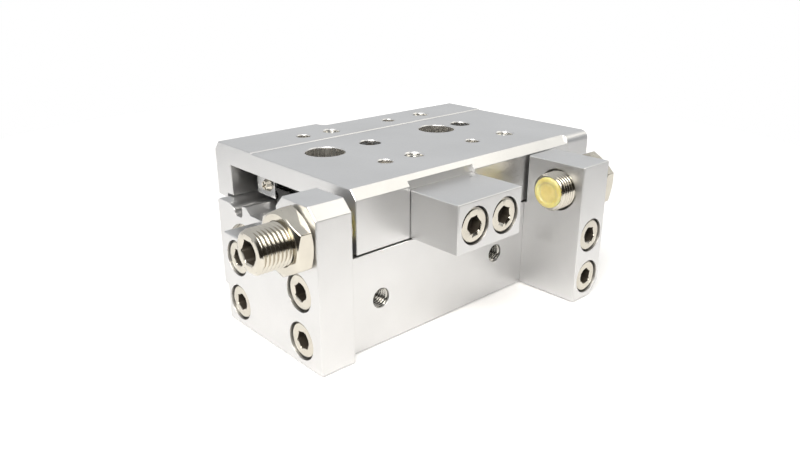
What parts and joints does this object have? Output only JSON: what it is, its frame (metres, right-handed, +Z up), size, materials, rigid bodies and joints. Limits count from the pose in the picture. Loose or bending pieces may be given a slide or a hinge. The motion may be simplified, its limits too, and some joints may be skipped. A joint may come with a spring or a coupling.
{
  "type": "pneumatic slide table",
  "caption": "Compact pneumatic slide table: twin air cylinders move a ball-guided table over the body, with a threaded stop bolt at each end of the stroke.",
  "frame": {"origin": "on the underside, midway along the cylinder body and on the middle plane between the two bores", "axes": "+X along the stroke, the way the table extends; +Y from the adjuster side to the plain side; +Z up, out of the table's top"},
  "size_m": [0.1123, 0.0803, 0.0402],
  "materials": {
    "anodised_aluminium": "clear anodised, satin",
    "inner_alloy": "turned",
    "guide_steel": "ground",
    "black_steel": "black oxide",
    "nickel_steel": "nickel plated, satin",
    "hard_chrome": "hard chromed and ground",
    "urethane": "translucent moulded",
    "nitrile": "moulded",
    "black_resin": "moulded",
    "magnet": "bonded magnet"
  },
  "bodies": {
    "body": {"cylinder_body": "anodised_aluminium", "guide_rail": "guide_steel", "rail_screws": "black_steel", "head_caps": "inner_alloy", "head_cap_orings": "nitrile", "head_cap_rings": "nickel_steel", "rod_covers": "inner_alloy", "rod_cover_orings": "nitrile", "rod_seals": "nitrile", "rod_cover_rings": "nickel_steel", "rod_bumpers": "urethane", "rear_stop_block": "anodised_aluminium", "rear_block_screws": "nickel_steel", "rear_lock_nut": "nickel_steel", "front_stop_block": "anodised_aluminium", "front_block_screws": "nickel_steel", "front_lock_nut": "nickel_steel"},
    "table": {"table": "anodised_aluminium", "guide_block": "guide_steel", "guide_screws": "black_steel", "load_balls": "guide_steel", "return_balls": "guide_steel", "return_caps_rear": "black_resin", "return_caps_front": "black_resin", "cover_plates_rear": "guide_steel", "cover_plates_front": "guide_steel", "cover_screws": "nickel_steel", "stopper": "anodised_aluminium", "stopper_screws": "nickel_steel", "end_plate": "anodised_aluminium", "end_plate_screws": "nickel_steel", "piston_rods": "hard_chrome", "pistons": "inner_alloy", "piston_seals": "nitrile", "piston_magnets": "magnet", "piston_nuts": "nickel_steel", "floating_bushes": "nickel_steel", "rod_end_screws": "nickel_steel"},
    "rear_bumper": {"rear_bumper": "urethane"},
    "rear_adjuster": {"rear_adjuster_bolt": "nickel_steel"},
    "front_bumper": {"front_bumper": "urethane"},
    "front_adjuster": {"front_adjuster_bolt": "nickel_steel"}
  },
  "joints": [
    {"name": "table_slide", "type": "slide", "parent": "body", "child": "table", "axis": [1, 0, 0], "range_m": [0, 0.0165]},
    {"name": "rear_adjuster_advance", "type": "slide", "parent": "body", "child": "rear_bumper", "axis": [1, 0, 0], "range_m": [-0.004, 0]},
    {"name": "rear_adjuster_turn", "type": "hinge", "parent": "rear_bumper", "child": "rear_adjuster", "pos_m": [-0.05, -0.0272, 0.0307], "axis": [1, 0, 0], "range_deg": [-1440, 0]},
    {"name": "front_adjuster_advance", "type": "slide", "parent": "body", "child": "front_bumper", "axis": [1, 0, 0], "range_m": [0, 0.004]},
    {"name": "front_adjuster_turn", "type": "hinge", "parent": "front_bumper", "child": "front_adjuster", "pos_m": [0.028, -0.0425, 0.0301], "axis": [1, 0, 0], "range_deg": [0, 1440]}
  ],
  "couplings": [
    {"joint": "rear_adjuster_advance", "follows": "rear_adjuster_turn", "m_per_rad": 0.00015915},
    {"joint": "front_adjuster_advance", "follows": "front_adjuster_turn", "m_per_rad": 0.00015915}
  ]
}
